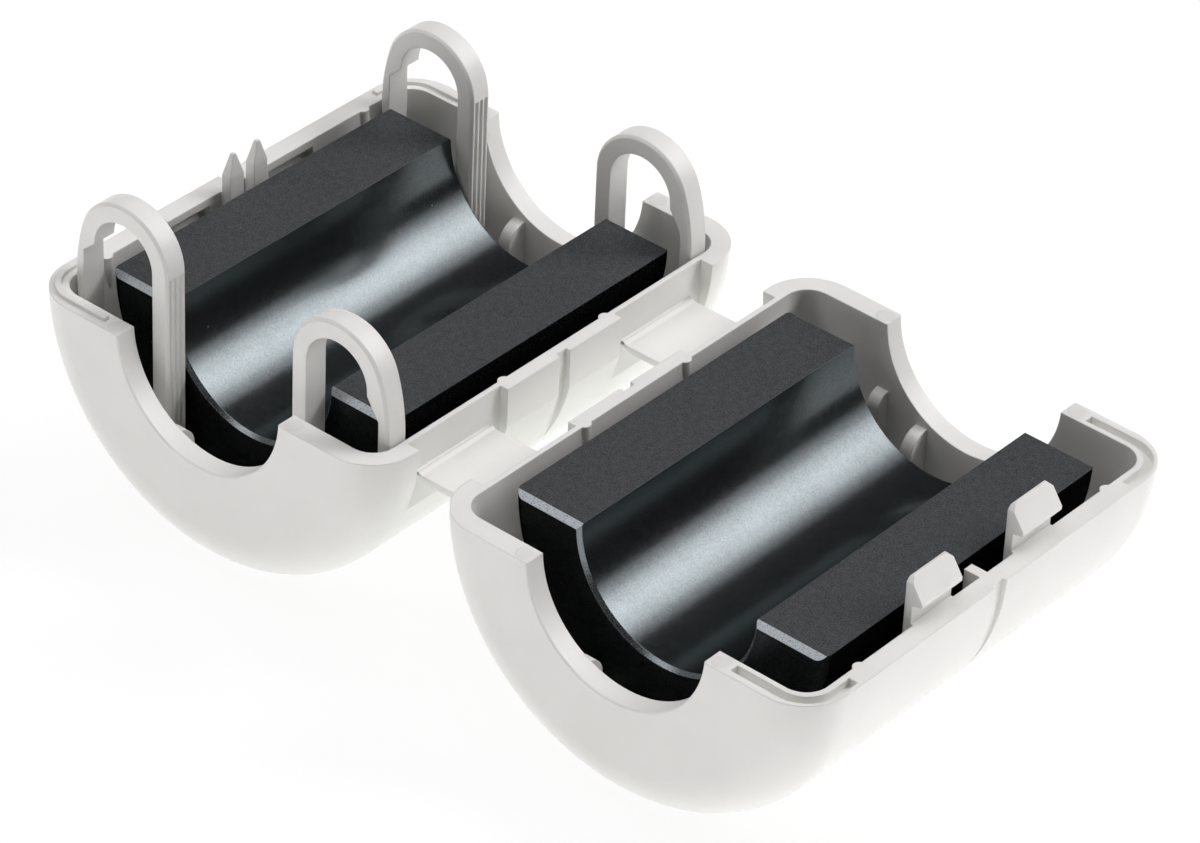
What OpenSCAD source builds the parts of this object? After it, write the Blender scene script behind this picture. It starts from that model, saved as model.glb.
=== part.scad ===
// Clip-on ferrite bead, lying open: two half shells joined by two hinge straps,
// each half holding one half of a ferrite core.
// Origin: on the axis of the cable bore of the base half, at mid length.
// Y runs along the cable, Z is up, the cover lies beside the base towards +X.
// Millimetres.

/* [Ferrite cores] */
// length of each half core along the cable
core_length = 29.4; // [27:0.1:34]
// outside radius of the half cores
core_radius = 13.35; // [12.7:0.05:14]
// radius of the bore that the cable lies in
bore_radius = 7.5; // [6.8:0.1:8]
// chamfer along the end edges of the mating faces
core_chamfer = 0.42; // [0.3:0.02:0.8]
// chamfer round the ends of the bore
bore_chamfer = 0.28; // [0.2:0.02:0.6]
// rounding of the outer end edges of the cores
core_edge_round = 0.8; // [0.4:0.05:1.4]

/* [Case] */
// room between a core and the round wall
core_side_gap = 1.65; // [1.45:0.05:2]
// room between a core and the end wall
core_end_gap = 3.55; // [3.4:0.05:4.2]
// thickness of the round wall
wall = 1.5; // [1.45:0.05:1.9]
// thickness of the end walls
end_wall = 1.65; // [1.4:0.05:2]
// rounding of the outer edges of the case
case_edge_round = 3.8; // [3.2:0.1:4.2]
// rounding of the inner edges of the case
cavity_edge_round = 1.9; // [1.4:0.1:2.2]
// height of the core faces above the rims
core_proud = 0.33; // [0.25:0.01:0.4]
// how much larger the end openings are than the bore
opening_clearance = 0.1; // [0.05:0.05:0.4]
// rounding of the outer lip of the end openings
opening_lip_round = 0.15; // [0.1:0.05:0.4]

/* [Hinge] */
// depth of the hinge pockets in the outside of the wall
pocket_depth = 1.1; // [1:0.01:1.15]
// half length of the piece of wall left between the pockets
pocket_inner_end = 5.95; // [5:0.05:6.5]
// distance from a pocket to the end of the case
pocket_outer_margin = 4.5; // [4:0.1:5]
// setback of the wall between the pockets
centre_wall_setback = 0.4; // [0.2:0.05:0.5]
// depth of the hinge lines below the mating faces
hinge_drop = 3.2; // [2.9:0.05:3.5]
// room between a strap and the ends of its pocket
strap_end_gap = 0.95; // [0.6:0.05:1.3]
// thickness of the straps
strap_thickness = 0.5; // [0.4:0.05:0.55]
// depth of the top of the straps below the hinge lines
strap_sink = 0.05; // [0:0.05:0.3]
// thickness of the film at each end of a strap
film_thickness = 0.3; // [0.24:0.02:0.36]
// length of the film at each end of a strap
film_length = 0.35; // [0.3:0.05:0.8]
// room between a film and the wall of its pocket
film_clearance = 0.04; // [0.03:0.01:0.1]
// gap left between the cores when the case is shut
core_gap = 0.08; // [0.04:0.01:0.15]

/* [Cable loops] */
// how far the loops stand inside the bore radius
loop_reach = 1.65; // [1.2:0.05:2]
// thickness of a loop along the cable
loop_thickness = 1.95; // [1.6:0.05:2]
// width of a loop leg
loop_leg = 1.42; // [1.2:0.02:1.8]
// width of the outer leg below its step
loop_foot = 0.9; // [0.7:0.05:1.1]
// bevel of the outer edges of the loops
loop_bevel = 0.2; // [0.1:0.02:0.26]
// height of the centre of the arch above the mating faces
arch_height = 3.38; // [3:0.02:3.9]
// height at which the outer leg has narrowed, on the latch side
latch_step_foot = 2.4; // [1.8:0.1:2.8]
// height at which the outer leg has narrowed, on the hinge side
hinge_step_foot = 1.4; // [1:0.1:2]
// greatest height over which the outer leg narrows
step_length = 1.7; // [1.2:0.1:2]
// room between a core end and a loop
loop_core_gap = 0.1; // [0.05:0.01:0.15]
// room between the loops and the shut cover
loop_clearance = 0.12; // [0.08:0.02:0.3]
// depth of the three grooves in the gripping face
grip_groove_depth = 0.18; // [0.1:0.02:0.3]

/* [Latch] */
// distance of each hook from mid length
hook_offset = 5.38; // [5:0.02:5.9]
// width of a hook
hook_width = 4.25; // [3.6:0.05:4.5]
// thickness of a hook stem
hook_stem = 0.6; // [0.5:0.05:0.8]
// how far the hook head stands out from its stem
hook_reach = 0.8; // [0.6:0.05:0.85]
// height of the hook top above the mating faces
hook_height = 3.3; // [2.9:0.05:3.5]
// height of the ledge that the hooks catch under
ledge_height = 0.65; // [0.5:0.05:0.8]
// room round the hooks in the shut case
hook_clearance = 0.12; // [0.08:0.01:0.2]
// bevel of the upper corners of a hook
hook_bevel = 0.45; // [0.2:0.05:0.7]
// width of the guide rib at mid length of the cover
guide_rib_width = 0.8; // [0.6:0.05:1]
// width of each locating pin
pin_width = 1.35; // [1:0.05:1.5]
// height of the locating pins above the mating faces
pin_height = 2.9; // [2.4:0.1:3.2]
// height of the ridge on the base rim
ridge_height = 0.25; // [0.15:0.05:0.4]
// width of the ridge on the base rim
ridge_width = 0.5; // [0.35:0.05:0.6]

/* [Ribs] */
// radius of the small half round ribs on the long walls
wall_rib_radius = 0.5; // [0.3:0.05:0.6]
// thickness of the stiffening ribs on the end walls
end_rib = 1.0; // [0.8:0.05:1.2]
// width of the cradle ribs that carry the cores
cradle_rib = 1.2; // [0.8:0.1:1.6]

/* [Hidden] */
$fn = 96;
eps = 0.01;
case_colour = [0.93, 0.93, 0.92];
core_colour = [0.24, 0.24, 0.26];

cavity_radius = core_radius + core_side_gap;
cavity_half = core_length / 2 + core_end_gap;
case_radius = cavity_radius + wall;
case_half = cavity_half + end_wall;
opening_radius = bore_radius + opening_clearance;
rim_z = -core_proud;
big = 2 * case_radius + 2 * case_half;

// hinge
pocket_wall_x = case_radius - pocket_depth;
pocket_outer_end = case_half - pocket_outer_margin;
hinge_x = pocket_wall_x + film_clearance + film_thickness / 2;
strap_span = 2 * hinge_drop + core_gap;
case_pitch = 2 * hinge_x + strap_span;
strap_inner_end = pocket_inner_end + strap_end_gap;
strap_outer_end = pocket_outer_end - strap_end_gap;
centre_wall_x = case_radius - centre_wall_setback;

// groove across the outside of the long walls at mid length
groove_width = 1.1;
groove_depth = 0.35;
groove_foot_z = -8;

// loops: the arch touches the gripping plane and the clearance circle of the cover
grip_x = bore_radius - loop_reach;
loop_y = core_length / 2 + loop_core_gap;
corner_run = loop_y + loop_thickness - (cavity_half - cavity_edge_round);
loop_limit = cavity_radius - cavity_edge_round - loop_clearance
    + sqrt(pow(cavity_edge_round, 2) - pow(max(0, corner_run), 2));
arch_radius = (pow(loop_limit, 2) - pow(grip_x, 2) - pow(arch_height, 2)) / (2 * (grip_x + loop_limit));
arch_x = grip_x + arch_radius;
arch_inner_radius = arch_radius - loop_leg;
foot_x = loop_limit - loop_foot;
grip_groove_pitch = loop_thickness / 4;

// latch
hook_setback = 0.2;
hook_slope_rise = 0.2;
hook_edge_rise = 0.3;
hook_face_x = cavity_radius - hook_setback;
hook_back_x = hook_face_x - hook_stem;
hook_tip_x = hook_face_x + hook_reach;
hook_under_z = core_proud + ledge_height + core_gap + hook_clearance / 3;
hook_slope_z = hook_under_z + hook_slope_rise;
hook_edge_z = hook_slope_z + hook_edge_rise;
pin_play = 0.15;
pin_depth = 0.85;
pin_point = 1.7;
pin_tip_width = 0.3;
pin_gap = guide_rib_width / 2 + pin_play;
pin_face_x = cavity_radius - pin_play;
pin_shoulder_z = pin_height - pin_point;
pin_tip_x = sqrt(pow(cavity_radius, 2) - pow(pin_height + core_gap, 2)) - pin_play;
hook_top_slope = 0.15;
hook_top_setback = 0.25;
root_embed = 0.8;
root_depth = 7;
root_width = 3;
guide_rib_reach = 1.3;

// ridge on the base rim, and the groove for it in the cover rim
ridge_inset_side = 0.7;
ridge_inset_end = 0.9;
ridge_turn = 2.6;
ridge_end_x = 9.5;
ridge_end_margin = 4.6;
ridge_root = 0.4;
rim_groove_margin = 5.2;
rim_groove_play = 0.1;
rim_groove_depth = 0.6;

// ribs: places on the long walls, on the end walls and along the floor
wall_rib_length = 3;
wall_rib_setback = 0.2;
centre_rib_y = 5.3;
outer_rib_y = 13.3;
inner_stiffener = [3.45, -7.3, 1.7];
outer_stiffener = [7.05, -5.8, 1.05];
stop_height = 2;
stop_clearance = 0.05;
cradle_y = 8;
cradle_clearance = 0.05;
cradle_top = 0.7;
strap_bevel = 0.3;

// ---------------------------------------------------------------- helpers

// solid of revolution about the cable axis with rounded rims
module barrel(r, half, edge)
    rotate([90, 0, 0])
        rotate_extrude() {
            translate([0, -half]) square([r - edge, 2 * half]);
            translate([0, edge - half]) square([r, 2 * (half - edge)]);
            for (s = [-1, 1])
                translate([r - edge, s * (half - edge)]) circle(edge);
        }

module below(z)
    translate([-big / 2, -big / 2, z - big]) cube([big, big, big]);

module above(z)
    translate([-big / 2, -big / 2, z]) cube([big, big, big]);

module both_ends() {
    children();
    mirror([0, 1, 0]) children();
}

module both_sides() {
    children();
    mirror([1, 0, 0]) children();
}

// keeps what stands on the wall from coming through to the outside
module rooted()
    intersection() {
        children();
        barrel(cavity_radius + root_embed, cavity_half + root_embed, cavity_edge_round);
    }

// plate with an outline drawn in X and Z, thick along Y from y0
module plate_xz(y0, thick)
    translate([0, y0 + thick, 0]) rotate([90, 0, 0])
        linear_extrude(thick) children();

// plate with an outline drawn in Y and Z, thick along X from x0
module plate_yz(x0, thick)
    translate([x0, 0, 0]) rotate([90, 0, 90])
        linear_extrude(thick) children();

// ---------------------------------------------------------------- cores

module core_ring()
    rotate([90, 0, 0])
        rotate_extrude()
            difference() {
                union() {
                    translate([bore_radius, -core_length / 2])
                        square([core_radius - core_edge_round - bore_radius, core_length]);
                    translate([bore_radius, core_edge_round - core_length / 2])
                        square([core_radius - bore_radius, core_length - 2 * core_edge_round]);
                    for (s = [-1, 1])
                        translate([core_radius - core_edge_round, s * (core_length / 2 - core_edge_round)])
                            circle(core_edge_round);
                }
                for (s = [-1, 1])
                    translate([bore_radius, s * core_length / 2])
                        rotate(45) square(bore_chamfer * sqrt(2), center = true);
            }

module half_core()
    difference() {
        core_ring();
        above(0);
        for (s = [-1, 1])
            translate([0, s * core_length / 2, 0]) rotate([45, 0, 0])
                cube([big, core_chamfer * sqrt(2), core_chamfer * sqrt(2)], center = true);
    }

// ---------------------------------------------------------------- shells

// rounded lip of an end opening
module opening_lip()
    translate([0, case_half, 0]) rotate([90, 0, 0])
        rotate_extrude()
            difference() {
                translate([0, -1]) square([opening_radius + opening_lip_round, 1 + opening_lip_round]);
                translate([opening_radius + opening_lip_round, opening_lip_round]) circle(opening_lip_round);
            }

module half_shell()
    difference() {
        barrel(case_radius, case_half, case_edge_round);
        above(rim_z);
        barrel(cavity_radius, cavity_half, cavity_edge_round);
        rotate([90, 0, 0]) cylinder(h = big, r = opening_radius, center = true);
        both_ends() opening_lip();
    }

// pocket and centre wall on the hinge side, towards +X
module hinge_side_cut() {
    both_ends()
        translate([pocket_wall_x, pocket_inner_end, -big / 2])
            cube([big, pocket_outer_end - pocket_inner_end, big]);
    translate([centre_wall_x, -pocket_inner_end - eps, -big / 2])
        cube([big, 2 * pocket_inner_end + 2 * eps, big]);
}

// shallow groove that fades out down the outside of the long wall, towards +X
module outside_groove(face_x) {
    depth = case_radius - face_x + groove_depth;
    foot_angle = asin(-groove_foot_z / case_radius);
    difference() {
        translate([0, -groove_width / 2, -case_radius]) cube([big, groove_width, big]);
        translate([-depth, 0, -depth / tan(foot_angle)]) rotate([90, 0, 0])
            cylinder(h = groove_width + 2, r = case_radius, center = true);
    }
}

// small half round ribs on the inside of the long wall, towards +X
module wall_ribs(y)
    both_ends()
        translate([cavity_radius + wall_rib_setback, y, rim_z - wall_rib_length])
            cylinder(h = wall_rib_length, r = wall_rib_radius);

// stiffening rib on the inside of an end wall, with a rounded top
module end_wall_rib(place) {
    x = place[0];
    top_z = place[1];
    reach = place[2];
    y0 = cavity_half - reach;
    y1 = cavity_half + root_embed;
    rooted()
        plate_yz(x, end_rib) {
            translate([y0 + reach, top_z - reach]) intersection() {
                circle(reach);
                translate([-reach, 0]) square(reach);
            }
            translate([y0, -case_radius]) square([y1 - y0, case_radius + top_z - reach]);
            translate([cavity_half - eps, -case_radius]) square([root_embed, case_radius + top_z]);
        }
}

// low stop for the end of a core, at the foot of an end wall rib
module core_stop(place)
    rooted()
        translate([place[0], core_length / 2 + stop_clearance, -case_radius])
            cube([end_rib, core_end_gap, case_radius - core_radius + stop_height]);

// rib that carries the core on the floor of the case
module cradle(y)
    intersection() {
        translate([0, y + cradle_rib / 2, 0]) rotate([90, 0, 0])
            difference() {
                cylinder(h = cradle_rib, r = cavity_radius + root_embed);
                translate([0, 0, -1]) cylinder(h = cradle_rib + 2, r = core_radius + cradle_clearance);
            }
        below(-core_radius * cradle_top);
    }

// band along the rim round a corner, used for the ridge and its groove
module rim_path(width, z0, z1, end_x, end_y) {
    cx = case_radius - ridge_inset_side - ridge_turn;
    cy = case_half - ridge_inset_end - ridge_turn;
    translate([end_x, cy + ridge_turn - width / 2, z0])
        cube([cx - end_x + eps, width, z1 - z0]);
    translate([cx + ridge_turn - width / 2, end_y, z0])
        cube([width, cy - end_y + eps, z1 - z0]);
    translate([cx, cy, z0]) intersection() {
        difference() {
            cylinder(h = z1 - z0, r = ridge_turn + width / 2);
            translate([0, 0, -1]) cylinder(h = z1 - z0 + 2, r = ridge_turn - width / 2);
        }
        cube([big, big, z1 - z0]);
    }
}

// ---------------------------------------------------------------- base

// disc about an axis along Y with bevelled rims, as thick as a loop
module loop_disc(r) {
    h = loop_thickness / 2;
    rotate([90, 0, 0])
        rotate_extrude()
            polygon([[0, -h], [r - loop_bevel, -h], [r, loop_bevel - h],
                     [r, h - loop_bevel], [r - loop_bevel, h], [0, h]]);
}

// outer form of a cable loop: the arch, the gripping leg, and the outer leg, which follows the cover
module loop_form() {
    h = loop_thickness / 2;
    tilt = atan(arch_height / arch_x);
    reach = loop_limit + 2;
    translate([arch_x, 0, arch_height]) loop_disc(arch_radius);
    translate([0, 0, -case_radius])
        linear_extrude(case_radius + arch_height)
            polygon([[grip_x + loop_bevel, -h], [grip_x, loop_bevel - h], [grip_x, h - loop_bevel],
                     [grip_x + loop_bevel, h], [arch_x, h], [arch_x, -h]]);
    intersection() {
        loop_disc(loop_limit);
        plate_xz(-loop_thickness, 2 * loop_thickness)
            polygon([[arch_x, -case_radius], [arch_x, arch_height],
                     [reach * cos(tilt), reach * sin(tilt)], [reach, -case_radius]]);
    }
}

// opening of a cable loop in X and Z, with the step in its outer leg
module loop_opening(step_foot) {
    inner_x = arch_x + arch_inner_radius;
    translate([arch_x, arch_height]) circle(arch_inner_radius);
    translate([grip_x + loop_leg, -case_radius - 1])
        square([2 * arch_inner_radius, case_radius + 1 + arch_height]);
    polygon([[inner_x - eps, min(step_foot + step_length, arch_height)],
             [foot_x, step_foot],
             [foot_x, -case_radius - 1],
             [inner_x - eps, -case_radius - 1]]);
}

module cable_loop(step_foot) {
    groove_side = grip_groove_depth * sqrt(2);
    rooted()
        translate([0, loop_y + loop_thickness / 2, 0])
            difference() {
                loop_form();
                plate_xz(-loop_thickness, 2 * loop_thickness) loop_opening(step_foot);
                for (i = [-1 : 1])
                    translate([grip_x, i * grip_groove_pitch, (arch_height - case_radius) / 2])
                        rotate([0, 0, 45])
                            cube([groove_side, groove_side, case_radius + arch_height], center = true);
            }
}

// recess under the ledge that a hook catches in
module hook_pocket() {
    z0 = rim_z - ledge_height;
    half = hook_width / 2 + 2 * hook_clearance;
    tip = hook_tip_x + hook_clearance;
    for (s = [-1, 1])
        mirror([1, 0, 0])
            plate_xz(s * hook_offset - half, 2 * half)
                polygon([[hook_back_x - 1, z0], [tip, z0],
                         [tip, core_gap - hook_edge_z - hook_clearance],
                         [hook_face_x, core_gap - hook_height - hook_clearance],
                         [hook_back_x - 1, core_gap - hook_height - hook_clearance]]);
}

// two pins with pencil points that stand either side of the guide rib
module locating_pins()
    for (s = [-1, 1])
        mirror([1, 0, 0]) {
            intersection() {
                plate_yz(pin_face_x - pin_depth, pin_depth)
                    polygon([[s * pin_gap, rim_z - eps],
                             [s * pin_gap, pin_shoulder_z],
                             [s * (pin_gap + (pin_width - pin_tip_width) / 2), pin_height],
                             [s * (pin_gap + (pin_width + pin_tip_width) / 2), pin_height],
                             [s * (pin_gap + pin_width), pin_shoulder_z],
                             [s * (pin_gap + pin_width), rim_z - eps]]);
                plate_xz(-pin_gap - pin_width - 1, 2 * (pin_gap + pin_width + 1))
                    polygon([[pin_face_x, rim_z - 1],
                             [pin_face_x, pin_shoulder_z],
                             [pin_tip_x, pin_height],
                             [pin_tip_x - pin_tip_width, pin_height],
                             [pin_face_x - pin_depth, pin_shoulder_z],
                             [pin_face_x - pin_depth, rim_z - 1]]);
            }
            rooted()
                translate([pin_face_x - pin_depth, s * (pin_gap + pin_width / 2) - pin_width / 2,
                           rim_z - root_depth])
                    cube([root_width, pin_width, root_depth]);
        }

module base_shell()
    color(case_colour)
        difference() {
            union() {
                half_shell();
                both_ends() cable_loop(hinge_step_foot);
                both_ends() mirror([1, 0, 0]) cable_loop(latch_step_foot);
                wall_ribs(centre_rib_y);
                mirror([1, 0, 0]) wall_ribs(outer_rib_y);
                both_ends() both_sides() end_wall_rib(inner_stiffener);
                both_ends() both_sides() core_stop(inner_stiffener);
                both_ends() cradle(cradle_y);
                locating_pins();
                both_ends() mirror([1, 0, 0])
                    rim_path(ridge_width, rim_z - ridge_root, rim_z + ridge_height,
                             ridge_end_x, case_half - ridge_end_margin);
            }
            hinge_side_cut();
            outside_groove(centre_wall_x);
            mirror([1, 0, 0]) outside_groove(case_radius);
            hook_pocket();
        }

module base_core() color(core_colour) half_core();

// ---------------------------------------------------------------- cover

module hooks()
    for (s = [-1, 1]) {
        intersection() {
            plate_xz(s * hook_offset - hook_width / 2, hook_width)
                polygon([[hook_back_x, rim_z - eps],
                         [hook_face_x, rim_z - eps],
                         [hook_face_x, hook_under_z],
                         [hook_tip_x, hook_slope_z],
                         [hook_tip_x, hook_edge_z],
                         [hook_back_x + hook_top_setback, hook_height],
                         [hook_back_x, hook_height - hook_top_slope]]);
            translate([0, s * hook_offset, 0]) plate_yz(hook_back_x - 1, root_width)
                polygon([[-hook_width / 2, rim_z - 1], [hook_width / 2, rim_z - 1],
                         [hook_width / 2, hook_height - hook_bevel],
                         [hook_width / 2 - hook_bevel, hook_height],
                         [hook_bevel - hook_width / 2, hook_height],
                         [-hook_width / 2, hook_height - hook_bevel]]);
        }
        rooted()
            translate([hook_back_x, s * hook_offset - hook_width / 2, rim_z - root_depth])
                cube([root_width, hook_width, root_depth]);
    }

module guide_rib()
    rooted()
        translate([cavity_radius - guide_rib_reach, -guide_rib_width / 2, rim_z - root_depth])
            cube([root_width, guide_rib_width, root_depth]);

module cover_shell()
    color(case_colour)
        translate([case_pitch, 0, 0])
            difference() {
                union() {
                    half_shell();
                    mirror([1, 0, 0]) wall_ribs(centre_rib_y);
                    wall_ribs(outer_rib_y);
                    both_ends() both_sides() end_wall_rib(inner_stiffener);
                    both_ends() both_sides() end_wall_rib(outer_stiffener);
                    both_ends() both_sides() core_stop(inner_stiffener);
                    both_ends() cradle(cradle_y);
                    hooks();
                    guide_rib();
                }
                mirror([1, 0, 0]) hinge_side_cut();
                mirror([1, 0, 0]) outside_groove(centre_wall_x);
                outside_groove(case_radius);
                both_ends()
                    rim_path(ridge_width + 2 * rim_groove_play, rim_z - rim_groove_depth, 1,
                             ridge_end_x - rim_groove_play, case_half - rim_groove_margin);
            }

module cover_core() color(core_colour) translate([case_pitch, 0, 0]) half_core();

// ---------------------------------------------------------------- hinge straps

// strap between the two shells, from y0 to y1, sloping up to the films at its ends
module strap(y0, y1) {
    top_z = -hinge_drop - strap_sink;
    half = film_thickness / 2;
    far_x = case_pitch - hinge_x;
    for (x = [hinge_x, far_x])
        translate([x, y1, -hinge_drop]) rotate([90, 0, 0]) cylinder(h = y1 - y0, r = half);
    plate_xz(y0, y1 - y0)
        polygon([[hinge_x, half - hinge_drop],
                 [hinge_x + film_length, top_z],
                 [far_x - film_length, top_z],
                 [far_x, half - hinge_drop],
                 [far_x, -half - hinge_drop],
                 [far_x - film_length, top_z - film_thickness],
                 [far_x - film_length - strap_bevel, top_z - strap_thickness],
                 [hinge_x + film_length + strap_bevel, top_z - strap_thickness],
                 [hinge_x + film_length, top_z - film_thickness],
                 [hinge_x, -half - hinge_drop]]);
}

module hinge_strap_front() color(case_colour) strap(-strap_outer_end, -strap_inner_end);

module hinge_strap_rear() color(case_colour) strap(strap_inner_end, strap_outer_end);

// ---------------------------------------------------------------- nodes

base_shell();
base_core();
cover_shell();
cover_core();
hinge_strap_front();
hinge_strap_rear();
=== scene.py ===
"""Looks of a clip-on ferrite bead that lies open: a moulded hinged case and two half cores."""

import logging
import math
from dataclasses import dataclass
from enum import Enum
from typing import Any, Mapping

import bpy
from mathutils import Matrix, Vector

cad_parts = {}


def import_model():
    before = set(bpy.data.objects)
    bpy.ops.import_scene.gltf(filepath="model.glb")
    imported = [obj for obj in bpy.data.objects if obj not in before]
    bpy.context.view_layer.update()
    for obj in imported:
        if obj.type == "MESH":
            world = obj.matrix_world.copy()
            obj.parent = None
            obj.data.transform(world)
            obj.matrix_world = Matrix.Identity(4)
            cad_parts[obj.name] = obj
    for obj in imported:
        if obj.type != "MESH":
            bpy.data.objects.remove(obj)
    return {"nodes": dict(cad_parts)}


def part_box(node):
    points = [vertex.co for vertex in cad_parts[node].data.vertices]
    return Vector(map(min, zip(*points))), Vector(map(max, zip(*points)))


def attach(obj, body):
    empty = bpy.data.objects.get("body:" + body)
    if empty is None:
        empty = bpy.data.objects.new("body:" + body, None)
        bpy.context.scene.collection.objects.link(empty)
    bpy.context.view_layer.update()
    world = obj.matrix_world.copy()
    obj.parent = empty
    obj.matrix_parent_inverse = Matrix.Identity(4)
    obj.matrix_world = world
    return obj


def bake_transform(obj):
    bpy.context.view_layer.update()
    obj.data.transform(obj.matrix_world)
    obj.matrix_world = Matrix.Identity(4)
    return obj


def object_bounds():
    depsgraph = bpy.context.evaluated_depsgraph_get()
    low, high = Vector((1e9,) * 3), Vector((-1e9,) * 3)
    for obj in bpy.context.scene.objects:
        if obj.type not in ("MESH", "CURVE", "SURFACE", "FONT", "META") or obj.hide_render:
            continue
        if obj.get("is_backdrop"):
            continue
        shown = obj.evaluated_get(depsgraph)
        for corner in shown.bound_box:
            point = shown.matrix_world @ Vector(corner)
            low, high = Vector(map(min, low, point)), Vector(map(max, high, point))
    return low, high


log = logging.getLogger("ferrite_bead")

MM = 0.001
NOISE_MEAN = 0.5

Point = tuple[float, float, float]
Colour = tuple[float, float, float, float]
Solids = Mapping[str, bpy.types.Object]
Pieces = list[bpy.types.Object]


def near_grey(level: float, red: float = 1.0, blue: float = 1.0) -> Colour:
    """A near-grey colour.

    Args:
        level: linear level of the green channel.
        red: level of the red channel as a share of the green one.
        blue: level of the blue channel as a share of the green one.

    Returns:
        The colour with full alpha.
    """
    return (level * red, level, level * blue, 1.0)


def put_in_scene(name: str, data: bpy.types.ID) -> bpy.types.Object:
    """Makes an object from its data and links it to the scene.

    Args:
        name: the object's name.
        data: its mesh, lamp or camera data.

    Returns:
        The object.
    """
    made = bpy.data.objects.new(name, data)
    bpy.context.scene.collection.objects.link(made)
    return made


# ---------------------------------------------------------------- node benches


class Signal:
    """A number that varies over a surface or shape; arithmetic on it adds Math nodes."""

    def __init__(self, bench: "NodeBench", socket: bpy.types.NodeSocket) -> None:
        """Keeps the output socket and the bench that owns its tree.

        Args:
            bench: the bench that adds the nodes.
            socket: the output that carries the number.
        """
        self.bench = bench
        self.socket = socket

    def _math(self, operation: str, *terms: Any) -> "Signal":
        """Adds one Math node.

        Args:
            operation: Blender's name of the operation.
            terms: signals or numbers, in the order of the node's inputs.

        Returns:
            The node's result.
        """
        made = self.bench.add("ShaderNodeMath", dict(enumerate(terms)), operation=operation)
        return self.bench.signal(made)

    def __add__(self, other: Any) -> "Signal":
        """Sum."""
        return self._math("ADD", self, other)

    def __radd__(self, other: Any) -> "Signal":
        """Reflected sum."""
        return self._math("ADD", other, self)

    def __sub__(self, other: Any) -> "Signal":
        """Difference."""
        return self._math("SUBTRACT", self, other)

    def __rsub__(self, other: Any) -> "Signal":
        """Reflected difference."""
        return self._math("SUBTRACT", other, self)

    def __mul__(self, other: Any) -> "Signal":
        """Product."""
        return self._math("MULTIPLY", self, other)

    def __truediv__(self, other: Any) -> "Signal":
        """Quotient."""
        return self._math("DIVIDE", self, other)

    def __pow__(self, other: Any) -> "Signal":
        """Power."""
        return self._math("POWER", self, other)

    def ease(self, start: float, end: float) -> "Signal":
        """Goes smoothly from 0 to 1 while the signal goes from start to end.

        Args:
            start: signal value where the change begins.
            end: signal value where it ends.

        Returns:
            The eased signal.
        """
        made = self.bench.add(
            "ShaderNodeMapRange",
            {"Value": self, "From Min": start, "From Max": end, "To Min": 0.0, "To Max": 1.0},
            interpolation_type="SMOOTHSTEP",
        )
        return self.bench.signal(made)


class NodeBench:
    """Adds nodes to one shader or geometry tree and links them."""

    def __init__(self, tree: bpy.types.NodeTree) -> None:
        """Starts on an empty tree.

        Args:
            tree: the tree that takes the nodes.
        """
        self.tree = tree
        self.tree.nodes.clear()

    def feed(self, socket: bpy.types.NodeSocket, value: Any) -> None:
        """Links a signal or socket to an input, or sets the input to a plain value.

        Args:
            socket: the input.
            value: a Signal, an output socket or a plain value.
        """
        if isinstance(value, Signal):
            self.tree.links.new(value.socket, socket)
        elif isinstance(value, bpy.types.NodeSocket):
            self.tree.links.new(value, socket)
        else:
            socket.default_value = value

    def add(
        self, kind: str, sockets: Mapping[Any, Any] | None = None, **settings: Any
    ) -> bpy.types.Node:
        """Adds one node: its settings first, then what goes into its sockets.

        Args:
            kind: Blender's type name of the node.
            sockets: input name or number, with a value or a link.
            settings: properties of the node.

        Returns:
            The new node.
        """
        made = self.tree.nodes.new(kind)
        for name, value in settings.items():
            setattr(made, name, value)
        for key, value in (sockets or {}).items():
            self.feed(made.inputs[key], value)
        return made

    def signal(self, node: bpy.types.Node, output: Any = 0) -> Signal:
        """Wraps one output of a node.

        Args:
            node: the node.
            output: name or number of the output.

        Returns:
            The output as a signal.
        """
        return Signal(self, node.outputs[output])

    def camera_sees(self, room: bpy.types.Node, shown: bpy.types.Node) -> bpy.types.NodeSocket:
        """Parts what the camera sees from what lights the object.

        Args:
            room: the shader that reflections and soft light see.
            shown: the shader that the camera sees.

        Returns:
            The mixed shader.
        """
        path = self.add("ShaderNodeLightPath")
        mix = self.add(
            "ShaderNodeMixShader",
            {0: path.outputs["Is Camera Ray"], 1: room.outputs[0], 2: shown.outputs[0]},
        )
        return mix.outputs[0]


@dataclass(frozen=True)
class Specks:
    """Small round spots scattered at random over a surface.

    Attributes:
        pitch: mean distance between the cells that may hold a spot.
        radius: radius of a spot.
        share: share of the cells that hold one.
        solid_core: share of the radius where a spot is at its full strength.
        chance_step: width of the step between cells with a spot and cells without.
    """

    pitch: float
    radius: float
    share: float
    solid_core: float = 0.5
    chance_step: float = 0.01


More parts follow.
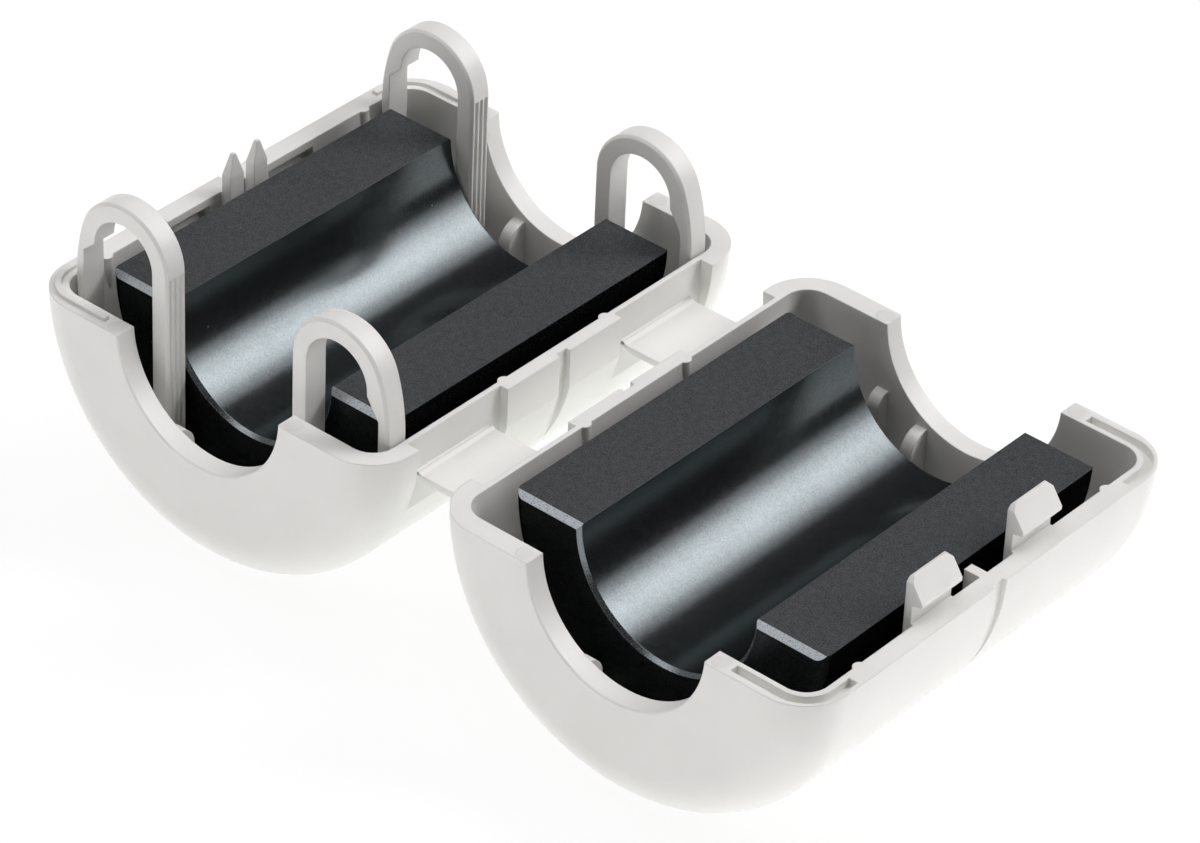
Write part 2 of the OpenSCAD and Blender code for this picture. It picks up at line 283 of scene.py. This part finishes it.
class SurfaceBench(NodeBench):
    """A bench for one material, with the patterns that the finishes share."""

    BEVEL_SAMPLES = 6
    MIX_FACTOR, MIX_FIRST, MIX_SECOND, MIX_RESULT = 0, 6, 7, 2

    def __init__(self, name: str) -> None:
        """Makes the material and its place on the surface.

        Args:
            name: the material's name.
        """
        self.material = bpy.data.materials.new(name)
        self.material.use_nodes = True
        super().__init__(self.material.node_tree)
        self.place = self.add("ShaderNodeTexCoord").outputs["Object"]

    def grain(self, size: float, detail: float) -> Signal:
        """Cloudy noise.

        Args:
            size: width of one cloud in metres.
            detail: octaves of finer noise.

        Returns:
            Noise from 0 to 1, about 0.5 on average.
        """
        noise = self.add(
            "ShaderNodeTexNoise", {"Vector": self.place, "Scale": 1 / size, "Detail": detail}
        )
        return self.signal(noise)

    def scatter(self, specks: Specks) -> Signal:
        """Spots at random places.

        Args:
            specks: their size and number.

        Returns:
            1 inside a spot and 0 outside.
        """
        cells = self.add("ShaderNodeTexVoronoi", {"Vector": self.place, "Scale": 1 / specks.pitch})
        chance = self.add("ShaderNodeSeparateColor", {0: cells.outputs["Color"]})
        edge = specks.radius / specks.pitch
        inside = self.signal(cells, "Distance").ease(edge, specks.solid_core * edge)
        return inside * self.signal(chance).ease(specks.share, specks.share - specks.chance_step)

    def blend(self, factor: Any, first: Any, second: Any) -> bpy.types.NodeSocket:
        """Mixes two colours.

        Args:
            factor: 0 for the first colour, 1 for the second.
            first: a colour or a colour socket.
            second: a colour or a colour socket.

        Returns:
            The mixed colour.
        """
        mix = self.add(
            "ShaderNodeMix",
            {self.MIX_FACTOR: factor, self.MIX_FIRST: first, self.MIX_SECOND: second},
            data_type="RGBA",
        )
        return mix.outputs[self.MIX_RESULT]

    def bump(
        self, height: Signal, depth: float, strength: float, normal: bpy.types.NodeSocket
    ) -> bpy.types.NodeSocket:
        """Turns a height pattern into a normal.

        Args:
            height: the pattern, from 0 to 1.
            depth: height of the pattern in metres.
            strength: share of the relief that shows.
            normal: the normal that the relief goes on.

        Returns:
            The normal.
        """
        made = self.add(
            "ShaderNodeBump",
            {"Strength": strength, "Distance": depth, "Height": height, "Normal": normal},
        )
        return made.outputs[0]

    def soft_edges(self, radius: float) -> bpy.types.NodeSocket:
        """Rounds the normal near sharp edges.

        Args:
            radius: radius of the rounding in metres, or 0 to leave the edges sharp.

        Returns:
            The normal.
        """
        if radius <= 0.0:
            return self.add("ShaderNodeNewGeometry").outputs["Normal"]
        bevel = self.add("ShaderNodeBevel", {"Radius": radius}, samples=self.BEVEL_SAMPLES)
        return bevel.outputs[0]

    def finish(self, sockets: Mapping[str, Any]) -> bpy.types.Material:
        """Ends the material in a Principled shader.

        Args:
            sockets: what goes into the shader's sockets.

        Returns:
            The material.
        """
        shader = self.add("ShaderNodeBsdfPrincipled", sockets)
        self.add("ShaderNodeOutputMaterial", {"Surface": shader.outputs[0]})
        return self.material


class ShapeBench(NodeBench):
    """A bench for one geometry tree, with a named input for each of its sizes."""

    def __init__(self, name: str, sizes: Mapping[str, float]) -> None:
        """Makes the tree and its inputs.

        Args:
            name: the tree's name.
            sizes: the sizes in metres, or plain numbers, by name.
        """
        self.name = name
        self.sizes = dict(sizes)
        super().__init__(bpy.data.node_groups.new(name, "GeometryNodeTree"))
        sockets = self.tree.interface
        for label in self.sizes:
            sockets.new_socket(name=label, in_out="INPUT", socket_type="NodeSocketFloat")
        sockets.new_socket(name="Shape", in_out="OUTPUT", socket_type="NodeSocketGeometry")
        self.inputs = self.add("NodeGroupInput").outputs

    def size(self, label: str) -> Signal:
        """One named size."""
        return Signal(self, self.inputs[label])

    def vector(self, x: Any, y: Any, z: Any) -> bpy.types.NodeSocket:
        """Joins three numbers or signals in a vector."""
        return self.add("ShaderNodeCombineXYZ", {0: x, 1: y, 2: z}).outputs[0]

    def repeat(
        self, shape: bpy.types.NodeSocket, places: bpy.types.NodeSocket
    ) -> bpy.types.NodeSocket:
        """Puts a copy of a shape on each point.

        Args:
            shape: the shape.
            places: a mesh that has a vertex at each place.

        Returns:
            The copies.
        """
        made = self.add("GeometryNodeInstanceOnPoints", {"Points": places, "Instance": shape})
        return made.outputs[0]

    def close(
        self, shape: bpy.types.NodeSocket, material: bpy.types.Material
    ) -> bpy.types.Object:
        """Ends the tree, runs it once and keeps the result as a plain mesh.

        Args:
            shape: the finished shape.
            material: its finish.

        Returns:
            The object, at the origin.
        """
        real = self.add("GeometryNodeRealizeInstances", {0: shape})
        dressed = self.add(
            "GeometryNodeSetMaterial", {"Geometry": real.outputs[0], "Material": material}
        )
        self.add("NodeGroupOutput", {0: dressed.outputs[0]})
        piece = put_in_scene(self.name, bpy.data.meshes.new(self.name))
        modifier = piece.modifiers.new("shape", "NODES")
        modifier.node_group = self.tree
        for item in self.tree.interface.items_tree:
            if item.in_out == "INPUT":
                modifier[item.identifier] = self.sizes[item.name]
        solved = piece.evaluated_get(bpy.context.evaluated_depsgraph_get())
        mesh = bpy.data.meshes.new_from_object(solved)
        piece.modifiers.clear()
        piece.data = mesh
        return piece


# ---------------------------------------------------------------- finishes


@dataclass(frozen=True)
class MouldedPolyamide:
    """Light warm grey polyamide with a satin mould texture and a few specks of dust.

    Attributes:
        name: the material's name.
        level: lightness, with the red and blue channels as shares of the green one.
        mottle: share by which the darker clouds are darker.
        mottle_range: noise values between which the clouds go from dark to light.
        roughness: mean roughness; texture_gloss and flow_gloss are how far the two patterns
            move it.
        texture_size: width of the mould texture's grains; depth, detail and relief belong to it.
        flow_size: width of the waves that the melt left; depth, detail and relief belong to it.
        dust: the specks of dust; they have dust_level and hide dust_cover of the plastic.
        index: index of refraction.
        subsurface: share of the light that goes through the skin, as far as subsurface_scale
            times subsurface_radius in each channel.
        edge_radius: radius of the soft edges, or 0 for a piece that is too thin for them.
    """

    name: str = "moulded_polyamide"
    level: float = 0.84
    red: float = 0.992
    blue: float = 0.96
    mottle: float = 0.03
    mottle_range: tuple[float, float] = (0.3, 0.7)
    roughness: float = 0.42
    texture_gloss: float = 0.12
    flow_gloss: float = 0.08
    texture_size: float = 0.09 * MM
    texture_depth: float = 0.0035 * MM
    texture_detail: float = 2.0
    texture_relief: float = 0.5
    flow_size: float = 5.0 * MM
    flow_depth: float = 0.03 * MM
    flow_detail: float = 3.0
    flow_relief: float = 0.35
    dust: Specks = Specks(pitch=3.2 * MM, radius=0.075 * MM, share=0.12)
    dust_cover: float = 0.55
    dust_level: float = 0.12
    index: float = 1.53
    subsurface: float = 0.12
    subsurface_radius: Point = (0.9, 0.8, 0.7)
    subsurface_scale: float = 0.8 * MM
    edge_radius: float = 0.13 * MM

    def build(self) -> bpy.types.Material:
        """Builds the material."""
        bench = SurfaceBench(self.name)
        clouds = bench.grain(self.flow_size, self.flow_detail)
        texture = bench.grain(self.texture_size, self.texture_detail)
        body = bench.blend(
            clouds.ease(*self.mottle_range),
            near_grey(self.level * (1 - self.mottle), self.red, self.blue),
            near_grey(self.level, self.red, self.blue),
        )
        dust = bench.scatter(self.dust)
        colour = bench.blend(dust * self.dust_cover, body, near_grey(self.dust_level))
        texture_gloss = (texture - NOISE_MEAN) * self.texture_gloss
        flow_gloss = (clouds - NOISE_MEAN) * self.flow_gloss
        edges = bench.soft_edges(self.edge_radius)
        flow = bench.bump(clouds, self.flow_depth, self.flow_relief, edges)
        return bench.finish(
            {
                "Base Color": colour,
                "Roughness": self.roughness + texture_gloss + flow_gloss,
                "Normal": bench.bump(texture, self.texture_depth, self.texture_relief, flow),
                "IOR": self.index,
                "Subsurface Weight": self.subsurface,
                "Subsurface Radius": self.subsurface_radius,
                "Subsurface Scale": self.subsurface_scale,
            }
        )


class FerriteFace(Enum):
    """How a face of the ferrite was left."""

    GROUND = "ground"
    BORE = "bore"
    OUTER = "outer"
    END_CHAMFER = "end_chamfer"
    BORE_LIP = "bore_lip"


@dataclass(frozen=True)
class Ferrite:
    """Dense dark ceramic: sandy where ground, satin in the bore, speckled on its chamfers, and
    painted light grey on its end chamfers as a painted sheen.

    Attributes:
        face: the kind of face that it covers.
        level: lightness, with the red and blue channels as shares of the green one.
        speckle: share by which single grains are lighter or darker.
        roughness: mean roughness; sand_gloss and dust_gloss are how far the patterns move it.
        grain_size: width of the fine grains; the coarse ones are coarse_ratio times as wide.
        grain_depth: height of the grains, of which relief is the share that shows.
        index: index of refraction.
        sparkle: share of the ceramic that the painted glints hide.
        lustre: share of the metal-like sheen.
        edge_radius: radius of the soft edges.
        edge_tint: tint of the reflections, or of their flat angles where there is lustre.
        lustre_edge: level to which lustre dims that tint.
        fine_share: weight of the fine grains in the sand, next to coarse_share.
        sand_range: noise values between which the sand goes from dark to light.
        patch_size: width of the paler patches, which are patch_tone times as light.
        pits: the pores, sunk by pit_drop of the relief, and darkened to pit_tone times as light as
            painted shade in them.
        glints: painted glints, bright spots in the colour that stand for light caught by single
            grains; they have glint_level.
        dust: the specks of dust, which have dust_level and stand dust_rise of the relief high.
    """

    face: FerriteFace
    level: float
    speckle: float
    roughness: float
    grain_size: float
    grain_depth: float
    index: float
    sparkle: float = 0.0
    lustre: float = 0.0
    red: float = 0.95
    blue: float = 1.06
    edge_radius: float = 0.06 * MM
    edge_tint: Point = (0.86, 0.98, 1.0)
    lustre_edge: float = 0.12
    coarse_ratio: float = 4.0
    fine_share: float = 0.7
    fine_detail: float = 1.0
    coarse_share: float = 0.3
    coarse_detail: float = 2.0
    sand_range: tuple[float, float] = (0.3, 0.7)
    sand_gloss: float = 0.06
    relief: float = 0.6
    patch_size: float = 4.0 * MM
    patch_detail: float = 3.0
    patch_range: tuple[float, float] = (0.35, 0.7)
    patch_cover: float = 0.15
    patch_tone: float = 1.5
    pits: Specks = Specks(pitch=0.8 * MM, radius=0.07 * MM, share=0.25)
    pit_cover: float = 0.5
    pit_tone: float = 0.3
    pit_drop: float = 0.4
    glints: Specks = Specks(pitch=0.42 * MM, radius=0.045 * MM, share=0.3)
    glint_level: float = 0.3
    dust: Specks = Specks(pitch=1.7 * MM, radius=0.06 * MM, share=0.22)
    dust_cover: float = 0.7
    dust_level: float = 0.4
    dust_rise: float = 0.5
    dust_gloss: float = 0.3

    def _tone(self, level: float) -> Colour:
        """The cool grey of the ceramic at one level."""
        return near_grey(level, self.red, self.blue)

    def build(self) -> bpy.types.Material:
        """Builds the material."""
        bench = SurfaceBench(f"ferrite_{self.face.value}")
        fine = bench.grain(self.grain_size, self.fine_detail)
        coarse = bench.grain(self.coarse_ratio * self.grain_size, self.coarse_detail)
        grains = fine * self.fine_share + coarse * self.coarse_share
        sand = grains.ease(*self.sand_range)
        patches = bench.grain(self.patch_size, self.patch_detail).ease(*self.patch_range)
        # The pits sink the relief and darken the colour as painted shade in the pores.
        pits = bench.scatter(self.pits)
        # The glints are painted glints: bright spots in the colour that stand for light caught by
        # single grains.
        glints = bench.scatter(self.glints)
        dust = bench.scatter(self.dust)
        colour = bench.blend(
            sand,
            self._tone(self.level * (1 - self.speckle)),
            self._tone(self.level * (1 + self.speckle)),
        )
        for cover, level in (
            (patches * self.patch_cover, self.level * self.patch_tone),
            (pits * self.pit_cover, self.level * self.pit_tone),
            (glints * self.sparkle, self.glint_level),
            (dust * self.dust_cover, self.dust_level),
        ):
            colour = bench.blend(cover, colour, self._tone(level))
        sand_gloss = (sand - NOISE_MEAN) * self.sand_gloss
        height = grains - pits * self.pit_drop + dust * self.dust_rise
        edges = bench.soft_edges(self.edge_radius)
        edge_level = self.lustre_edge if self.lustre else 1.0
        return bench.finish(
            {
                "Base Color": colour,
                "Roughness": self.roughness + sand_gloss + dust * self.dust_gloss,
                "Normal": bench.bump(height, self.grain_depth, self.relief, edges),
                "IOR": self.index,
                "Metallic": self.lustre,
                "Specular Tint": (*(edge_level * part for part in self.edge_tint), 1.0),
            }
        )


FERRITE_KINDS = (
    Ferrite(
        FerriteFace.GROUND,
        level=0.031,
        speckle=1.0,
        roughness=0.62,
        grain_size=0.12 * MM,
        grain_depth=0.022 * MM,
        index=1.6,
        sparkle=0.5,
        red=0.99,
    ),
    Ferrite(
        FerriteFace.BORE,
        level=0.087,
        speckle=0.19,
        roughness=0.2,
        grain_size=0.13 * MM,
        grain_depth=0.004 * MM,
        index=1.62,
        lustre=0.85,
        red=0.87,
        blue=1.02,
    ),
    Ferrite(
        FerriteFace.OUTER,
        level=0.025,
        speckle=0.3,
        roughness=0.3,
        grain_size=0.12 * MM,
        grain_depth=0.006 * MM,
        index=1.5,
        lustre=0.95,
    ),
    Ferrite(
        FerriteFace.END_CHAMFER,
        # The end chamfers' light grey, ten times as light as the ground faces, is a painted sheen
        # that stands for the light these smooth strips reflect.
        level=0.30,
        speckle=0.4,
        roughness=0.30,
        grain_size=0.1 * MM,
        grain_depth=0.02 * MM,
        index=2.4,
        sparkle=0.5,
    ),
    Ferrite(
        FerriteFace.BORE_LIP,
        level=0.03,
        speckle=0.5,
        roughness=0.26,
        grain_size=0.1 * MM,
        grain_depth=0.02 * MM,
        index=2.5,
        sparkle=0.3,
    ),
)


@dataclass(frozen=True)
class Finishes:
    """One material for each surface of the object."""

    plastic: bpy.types.Material
    thin_plastic: bpy.types.Material
    ferrite: Mapping[FerriteFace, bpy.types.Material]

    @classmethod
    def build(cls) -> "Finishes":
        """Builds all the materials."""
        return cls(
            plastic=MouldedPolyamide().build(),
            thin_plastic=MouldedPolyamide("moulded_polyamide_thin", edge_radius=0.0).build(),
            ferrite={kind.face: kind.build() for kind in FERRITE_KINDS},
        )


# ---------------------------------------------------------------- sub-assemblies


@dataclass(frozen=True)
class CaseMoulding:
    """The plastic case: two half shells and the two straps between them."""

    parts: tuple[str, ...] = ("base_shell", "cover_shell", "hinge_strap_front", "hinge_strap_rear")

    def build(self, nodes: Solids, finishes: Finishes) -> Pieces:
        """Dresses each part of the moulding.

        Args:
            nodes: the solids by name.
            finishes: the materials.

        Returns:
            The dressed solids.
        """
        for name in self.parts:
            nodes[name].data.materials.clear()
            nodes[name].data.materials.append(finishes.plastic)
        return [nodes[name] for name in self.parts]


@dataclass(frozen=True)
class FerriteCores:
    """The two half cores, with a finish for each kind of face.

    Attributes:
        parts: names of the solids.
        bore_radius: radius of the bore.
        chamfer: width of the chamfers.
        ground_slack: how far below the mating plane a ground face may lie.
        bore_slack: how far outside the bore radius a face of the bore may lie.
        level_up: least upward part of the normal of a ground face.
        steep: part of the normal along an axis from which a face leans towards that axis.
        square: part of the normal along the bore from which a face is an end face.
    """

    parts: tuple[str, ...] = ("base_core", "cover_core")
    bore_radius: float = 7.5 * MM
    chamfer: float = 0.45 * MM
    ground_slack: float = 0.045 * MM
    bore_slack: float = 0.09 * MM
    level_up: float = 0.999
    steep: float = 0.5
    square: float = 0.9

    def _finish_of(self, face: bpy.types.MeshPolygon, axis_x: float) -> FerriteFace:
        """Picks the finish of one face from where it lies and the way it looks.

        Args:
            face: a face of the core.
            axis_x: place of the bore's axis along X.

        Returns:
            The finish.
        """
        middle, normal = face.center, face.normal
        radius = math.hypot(middle.x - axis_x, middle.z)
        if normal.z > self.level_up and middle.z > -self.ground_slack:
            return FerriteFace.GROUND
        if abs(normal.y) < self.steep:
            in_bore = radius < self.bore_radius + self.bore_slack
            return FerriteFace.BORE if in_bore else FerriteFace.OUTER
        if abs(normal.y) > self.square:
            return FerriteFace.OUTER
        if middle.z > -self.chamfer and normal.z > self.steep:
            return FerriteFace.END_CHAMFER
        on_lip = radius < self.bore_radius + self.chamfer
        return FerriteFace.BORE_LIP if on_lip else FerriteFace.OUTER

    def build(self, nodes: Solids, finishes: Finishes) -> Pieces:
        """Dresses both half cores.

        Args:
            nodes: the solids by name.
            finishes: the materials.

        Returns:
            The dressed solids.
        """
        order = list(FerriteFace)
        for name in self.parts:
            mesh = nodes[name].data
            low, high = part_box(name)
            axis_x = (low[0] + high[0]) / 2
            mesh.materials.clear()
            for kind in order:
                mesh.materials.append(finishes.ferrite[kind])
            for face in mesh.polygons:
                face.material_index = order.index(self._finish_of(face, axis_x))
        return [nodes[name] for name in self.parts]


class HingeSide(Enum):
    """The two bends of the hinge straps."""

    BASE = "base"
    COVER = "cover"


@dataclass(frozen=True)
class FilmWebs:
    """The thin webs that join the hinge straps to the wall of one half shell.

    Attributes:
        side: the bend that they bridge.
        wall_x: place of the base's wall along X; the cover's is its mirror image.
        strap_start: place along X where the straps begin; not used.
        pitch: distance between the bore axes of the two halves.
        drop: depth of the films' middle below the mating plane.
        root_inset: how far a web goes into the wall.
        reach: length of a web across the bend.
        root_height: height of a web above its middle at the wall.
        tip_height: the same at the strap.
        strap_length: length of a web along the bend.
        strap_middle: distance from the middle of a strap to the part's middle.
        columns: number of vertices across the bend.
    """

    side: HingeSide
    wall_x: float = 15.4 * MM
    strap_start: float = 15.62 * MM
    pitch: float = 37.66 * MM
    drop: float = 3.2 * MM
    root_inset: float = 0.03 * MM
    reach: float = 0.30 * MM
    root_height: float = 0.24 * MM
    tip_height: float = 0.10 * MM
    strap_length: float = 7.55 * MM
    strap_middle: float = 10.675 * MM
    columns: int = 9

    def _shape(self, bench: ShapeBench) -> bpy.types.NodeSocket:
        """Draws one web: a bar that grows thicker towards the wall in a hollow curve.

        Args:
            bench: the bench of the web's tree.

        Returns:
            The web, centred on the origin.
        """
        reach = bench.size("Reach")
        bar = bench.add(
            "GeometryNodeMeshCube",
            {
                "Size": bench.vector(reach, bench.size("Length"), 1.0),
                "Vertices X": self.columns,
                "Vertices Y": 2,
                "Vertices Z": 2,
            },
        )
        place = bench.add("GeometryNodeInputPosition")
        split = bench.add("ShaderNodeSeparateXYZ", {0: place.outputs[0]})
        x, y, z = (bench.signal(split, axis) for axis in range(3))
        to_wall = 0.5 - bench.size("Side") * x / reach
        tip = bench.size("Tip Height")
        height = tip + (bench.size("Root Height") - tip) * to_wall**2
        # The bar goes from -0.5 to 0.5 in Z, and the heights count from its middle.
        moved = bench.vector(x, y, z * height * 2.0)
        shaped = bench.add("GeometryNodeSetPosition", {0: bar.outputs[0], "Position": moved})
        return shaped.outputs[0]

    def build(self, nodes: Solids, finishes: Finishes) -> Pieces:
        """Builds the two webs of this side as one piece.

        Args:
            nodes: the solids by name; not used.
            finishes: the materials.

        Returns:
            The piece.
        """
        sign = 1.0 if self.side is HingeSide.BASE else -1.0
        wall, strap = self.wall_x, self.strap_start
        if self.side is HingeSide.COVER:
            wall, strap = self.pitch - self.wall_x, self.pitch - self.strap_start
        bench = ShapeBench(
            f"{self.side.value}_film_webs",
            {
                "Side": sign,
                "Reach": self.reach,
                "Length": self.strap_length,
                "Root Height": self.root_height,
                "Tip Height": self.tip_height,
                "Middle X": wall + sign * (self.reach / 2 - self.root_inset),
                "Strap Middle": self.strap_middle,
                "Drop": self.drop,
            },
        )
        middle, drop = bench.size("Strap Middle"), bench.size("Drop")
        places = bench.add(
            "GeometryNodeMeshLine",
            {
                "Count": 2,
                "Start Location": bench.vector(bench.size("Middle X"), middle * -1.0, drop * -1.0),
                "Offset": bench.vector(0.0, middle * 2.0, 0.0),
            },
        )
        webs = bench.repeat(self._shape(bench), places.outputs[0])
        piece = bench.close(webs, finishes.thin_plastic)
        if self.side is HingeSide.BASE:
            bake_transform(piece)
        else:
            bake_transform(piece)
        return [piece]


@dataclass(frozen=True)
class PinMarks:
    """The low round marks that the ejector pins left on the rim of one half shell.

    Attributes:
        body: the body that carries them.
        axis_x: place of its bore axis along X.
        radius: radius of a mark's top.
        foot_radius: radius of its foot.
        height: height of a mark above the rim.
        rim_z: height of the rim.
        across: distance from the bore axis to a mark along X.
        along: distance from the middle of the part to a mark along Y.
        sides: number of vertices round a mark.
    """

    body: str
    axis_x: float
    radius: float = 0.60 * MM
    foot_radius: float = 0.68 * MM
    height: float = 0.028 * MM
    rim_z: float = -0.33 * MM
    across: float = 8.4 * MM
    along: float = 19.05 * MM
    sides: int = 40

    def build(self, nodes: Solids, finishes: Finishes) -> Pieces:
        """Builds the four marks of this half as one piece.

        Args:
            nodes: the solids by name; not used.
            finishes: the materials.

        Returns:
            The piece.
        """
        bench = ShapeBench(
            f"{self.body}_pin_marks",
            {
                "Radius": self.radius,
                "Foot Radius": self.foot_radius,
                "Height": self.height,
                "Across": self.across,
                "Along": self.along,
                "Axis X": self.axis_x,
                "Rim Height": self.rim_z,
            },
        )
        mark = bench.add(
            "GeometryNodeMeshCone",
            {
                "Vertices": self.sides,
                "Radius Top": bench.size("Radius"),
                "Radius Bottom": bench.size("Foot Radius"),
                "Depth": bench.size("Height"),
            },
        )
        corners = bench.add(
            "GeometryNodeMeshGrid",
            {
                "Size X": bench.size("Across") * 2.0,
                "Size Y": bench.size("Along") * 2.0,
                "Vertices X": 2,
                "Vertices Y": 2,
            },
        )
        middle = bench.vector(bench.size("Axis X"), 0.0, bench.size("Rim Height"))
        placed = bench.add(
            "GeometryNodeTransform", {"Geometry": corners.outputs[0], "Translation": middle}
        )
        marks = bench.repeat(mark.outputs[0], placed.outputs[0])
        piece = bench.close(marks, finishes.thin_plastic)
        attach(piece, self.body)
        return [piece]


# ---------------------------------------------------------------- studio


@dataclass(frozen=True)
class ViewCamera:
    """A long lens that looks down on the open case from one corner."""

    place: Point = (0.225548, -0.252191, 0.229511)
    turn_deg: Point = (54.2805, -2.1355, 40.7867)
    lens_mm: float = 173.855
    sensor_mm: float = 36.0
    nearest: float = 0.01

    def build(self) -> bpy.types.Object:
        """Builds the camera and makes it the scene's."""
        data = bpy.data.cameras.new("view_camera")
        data.lens = self.lens_mm
        data.sensor_width = self.sensor_mm
        data.clip_start = self.nearest
        camera = put_in_scene("view_camera", data)
        camera.location = self.place
        camera.rotation_euler = [math.radians(angle) for angle in self.turn_deg]
        bpy.context.scene.camera = camera
        return camera


@dataclass(frozen=True)
class SoftBox:
    """A square or oblong lamp that faces the object, with one side square to the bores.

    Attributes:
        name: the lamp's name.
        towards: direction from the object to the lamp.
        distance: distance from the object in metres.
        width: size across in metres.
        height: size in the other direction in metres.
        power: power in watts.
        spread: angle over which the lamp shines; a small one gives soft edges in reflections.
        colour: colour of the light.
    """

    name: str
    towards: Point
    distance: float
    width: float
    height: float
    power: float
    spread: float = math.pi
    colour: Point = (1.0, 0.965, 0.99)

    def build(self, target: Vector) -> bpy.types.Object:
        """Builds the lamp.

        Args:
            target: the point that it faces.

        Returns:
            The lamp's object.
        """
        data = bpy.data.lights.new(self.name, "AREA")
        data.shape = "RECTANGLE"
        data.size, data.size_y = self.width, self.height
        data.energy = self.power
        data.spread = self.spread
        data.color = self.colour
        lamp = put_in_scene(self.name, data)
        bore_line = Vector((0.0, 1.0, 0.0))
        facing = Vector(self.towards).normalized()
        across = bore_line.cross(facing).normalized()
        along = facing.cross(across)
        lamp.location = target + facing * self.distance
        lamp.rotation_euler = Matrix((across, along, facing)).transposed().to_euler()
        lamp.visible_camera = False
        return lamp


TO_REAR = (0.439, 0.62, 0.651)
LAMPS = (
    SoftBox("rear_softbox", TO_REAR, distance=0.75, width=0.44, height=0.22, power=0.58),
    SoftBox(
        "rear_halo",
        TO_REAR,
        distance=0.76,
        width=0.80,
        height=0.28,
        power=0.58,
        spread=math.radians(62.0),
    ),
    SoftBox("ceiling_left", (-0.20, 0.0, 0.98), distance=1.0, width=1.0, height=1.0, power=6.6),
    SoftBox("left_card", (-0.46, -0.61, 0.64), distance=1.0, width=0.36, height=0.30, power=0.9),
    SoftBox("front_card", (0.2, -0.96, 0.21), distance=1.0, width=0.50, height=0.40, power=0.5),
)


@dataclass(frozen=True)
class Studio:
    """White floor, pale surroundings and soft lamps.

    Attributes:
        floor_z: height of the floor.
        floor_size: width of the floor.
        world_level: light that the room gives.
        glow_level: light that the floor gives to the object.
        bounce_level: share of the lamps' light that the floor returns to the object.
        shown_glow: white that the floor shows to the camera of itself.
        shadow_level: share of the lamps' light that the floor shows, and shadows take away.
        lamps: the lamps.
    """

    floor_z: float
    floor_size: float = 8.0
    world_level: float = 0.01
    glow_level: float = 0.58
    bounce_level: float = 0.82
    shown_glow: float = 0.84
    shadow_level: float = 0.2
    lamps: tuple[SoftBox, ...] = LAMPS

    @staticmethod
    def _sheet(bench: SurfaceBench, level: float, glow: float) -> bpy.types.Node:
        """A matt grey sheet that also glows white.

        Args:
            bench: the bench of its material.
            level: its grey level.
            glow: strength of its glow.

        Returns:
            The shader.
        """
        matt = bench.add("ShaderNodeBsdfDiffuse", {"Color": near_grey(level)})
        white = bench.add("ShaderNodeEmission", {"Color": near_grey(1.0), "Strength": glow})
        return bench.add("ShaderNodeAddShader", {0: matt.outputs[0], 1: white.outputs[0]})

    def _floor(self) -> None:
        """Lays the floor, which shows white and keeps the object's shadow."""
        bench = SurfaceBench("studio_floor")
        lit = self._sheet(bench, self.bounce_level, self.glow_level)
        shown = self._sheet(bench, self.shadow_level, self.shown_glow)
        bench.add("ShaderNodeOutputMaterial", {"Surface": bench.camera_sees(lit, shown)})
        mesh = bpy.data.meshes.new("studio_floor")
        half = self.floor_size / 2
        corners = [(-half, -half), (half, -half), (half, half), (-half, half)]
        mesh.from_pydata([(x, y, self.floor_z) for x, y in corners], [], [(0, 1, 2, 3)])
        mesh.materials.append(bench.material)
        floor = put_in_scene("studio_floor", mesh)
        floor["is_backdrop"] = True

    def _world(self) -> None:
        """Lights the room evenly and shows it white to the camera."""
        world = bpy.data.worlds.new("studio_room")
        world.use_nodes = True
        bench = NodeBench(world.node_tree)
        room, white = (
            bench.add("ShaderNodeBackground", {"Color": near_grey(1.0), "Strength": level})
            for level in (self.world_level, 1.0)
        )
        bench.add("ShaderNodeOutputWorld", {"Surface": bench.camera_sees(room, white)})
        bpy.context.scene.world = world

    def build(self, target: Vector) -> None:
        """Builds the floor, the room and the lamps.

        Args:
            target: the point that the lamps face.
        """
        self._floor()
        self._world()
        for lamp in self.lamps:
            lamp.build(target)
        bpy.context.scene.view_settings.view_transform = "Standard"


def main() -> None:
    """Builds the object and its studio, in order."""
    logging.basicConfig(level=logging.INFO, format="%(name)s: %(message)s")
    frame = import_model()
    cad_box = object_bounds()
    low, high = Vector(cad_box[0]), Vector(cad_box[1])
    ViewCamera().build()
    finishes = Finishes.build()
    assemblies = (
        CaseMoulding(),
        FerriteCores(),
        FilmWebs(HingeSide.BASE),
        FilmWebs(HingeSide.COVER),
        PinMarks("base", 0.0),
        PinMarks("cover", FilmWebs.pitch),
    )
    for assembly in assemblies:
        for piece in assembly.build(frame["nodes"], finishes):
            log.info("%s: %d faces", piece.name, len(piece.data.polygons))
    Studio(floor_z=low.z).build((low + high) / 2)


if __name__ == "__main__":
    main()
